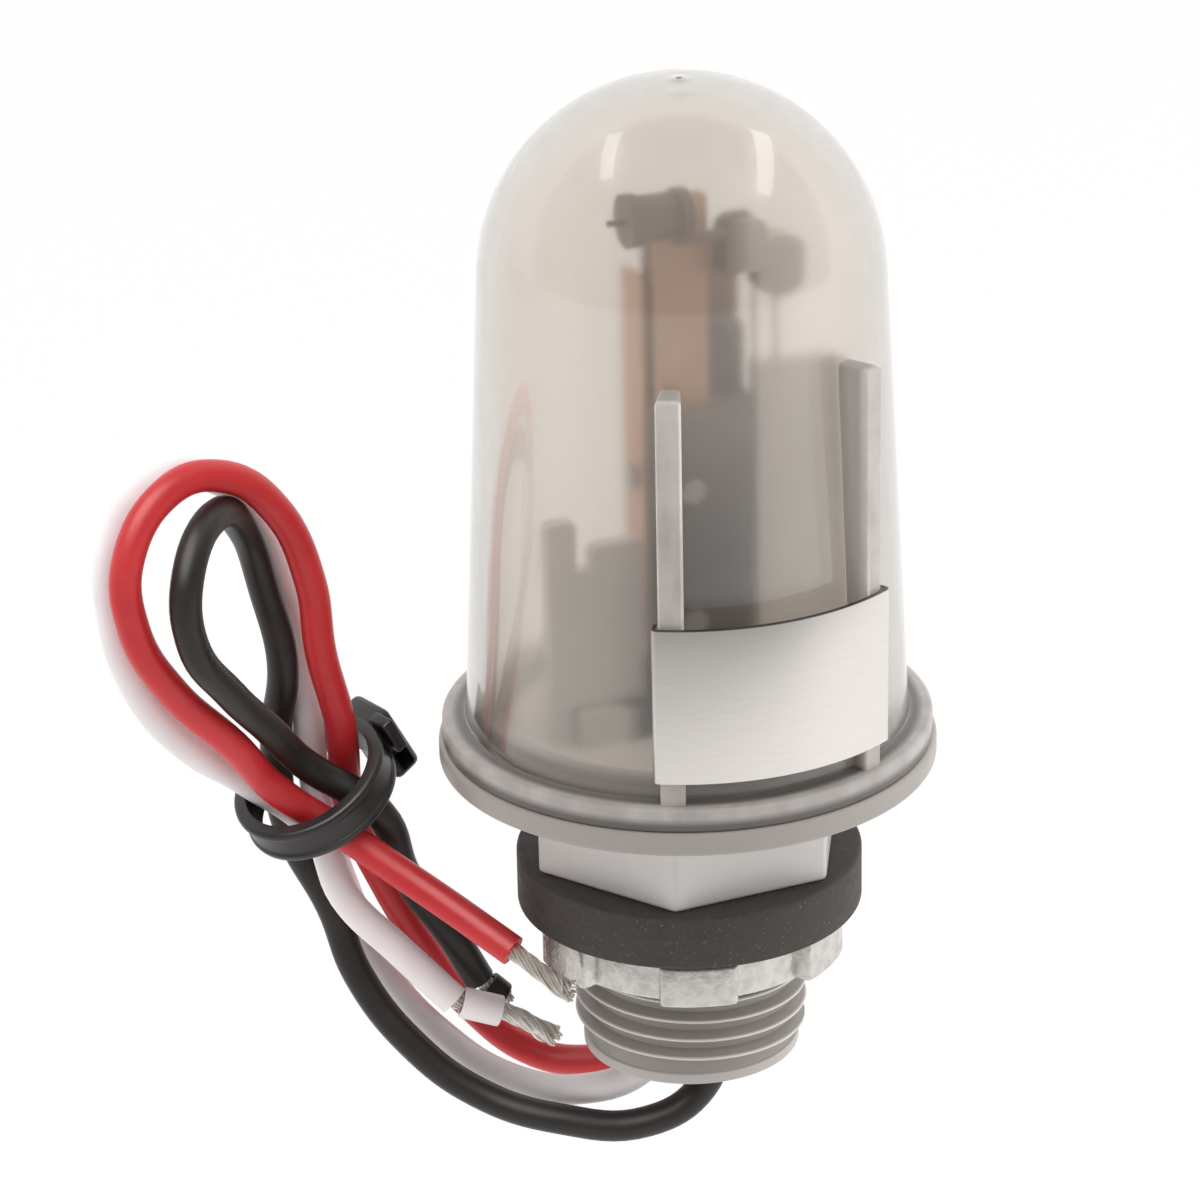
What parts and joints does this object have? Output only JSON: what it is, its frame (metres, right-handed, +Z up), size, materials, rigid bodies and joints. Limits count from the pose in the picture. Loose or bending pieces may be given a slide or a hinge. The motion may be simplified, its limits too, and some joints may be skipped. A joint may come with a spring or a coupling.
{
  "type": "photocell switch",
  "caption": "Stem-mount photocell switch: bullet-shaped translucent cover with a sliding light shield on a hexagon base, with a threaded stem, gasket, locknut and tied leads.",
  "frame": {"origin": "centre of the stem's mouth, where the leads come out", "axes": "+Z up the stem towards the cover's round top; the sliding shield faces -Y"},
  "size_m": [0.0711, 0.0434, 0.0979],
  "materials": {
    "base_plastic": "moulded, light grey",
    "cover_plastic": "glossy, smoke translucent",
    "shield_aluminium": "bare rolled sheet",
    "gasket_rubber": "matt, lightly scuffed",
    "nut_zinc": "bright die-cast zinc",
    "frame_plastic": "moulded, grey",
    "post_plastic": "moulded, dark",
    "bimetal": "rolled, copper brown",
    "contact_brass": "stamped",
    "contact_silver": "turned",
    "plain_steel": "plated",
    "dark_ceramic": "dipped",
    "tinned_copper": "tinned, twisted",
    "red_insulation": "extruded",
    "white_insulation": "extruded",
    "black_insulation": "extruded",
    "tie_plastic": "moulded"
  },
  "bodies": {
    "root": {"base": "base_plastic", "dome_cover": "cover_plastic", "inner_frame": "frame_plastic", "blade_post": "post_plastic", "post_screws": "plain_steel", "heater_blade": "bimetal", "ambient_blade": "bimetal", "blade_rivets": "plain_steel", "contact_bracket": "contact_brass", "fixed_contact": "contact_silver", "moving_contact": "contact_silver", "setting_screw": "plain_steel", "heater_resistor": "dark_ceramic", "photocell": "dark_ceramic", "cell_wires": "tinned_copper", "lead_terminals": "contact_brass", "red_lead": "red_insulation", "white_lead": "white_insulation", "black_lead": "black_insulation", "red_strands": "tinned_copper", "white_strands": "tinned_copper", "black_strands": "tinned_copper", "white_slug": "white_insulation", "black_slug": "black_insulation", "wire_tie": "tie_plastic"},
    "shield": {"light_shield": "shield_aluminium"},
    "seal": {"gasket": "gasket_rubber"},
    "nut": {"locknut": "nut_zinc"}
  },
  "joints": [
    {"name": "shield_slide", "type": "slide", "parent": "root", "child": "shield", "axis": [0, 0, 1], "range_m": [-0.0021, 0.019]},
    {"name": "gasket_slide", "type": "slide", "parent": "root", "child": "seal", "axis": [0, 0, -1], "range_m": [0, 0.0055]},
    {"name": "locknut_turn", "type": "hinge", "parent": "seal", "child": "nut", "pos_m": [0, 0, 0.012], "axis": [0, 0, -1], "range_deg": [0, 1080]}
  ],
  "couplings": [
    {"joint": "gasket_slide", "follows": "locknut_turn", "m_per_rad": 0.00028871}
  ]
}
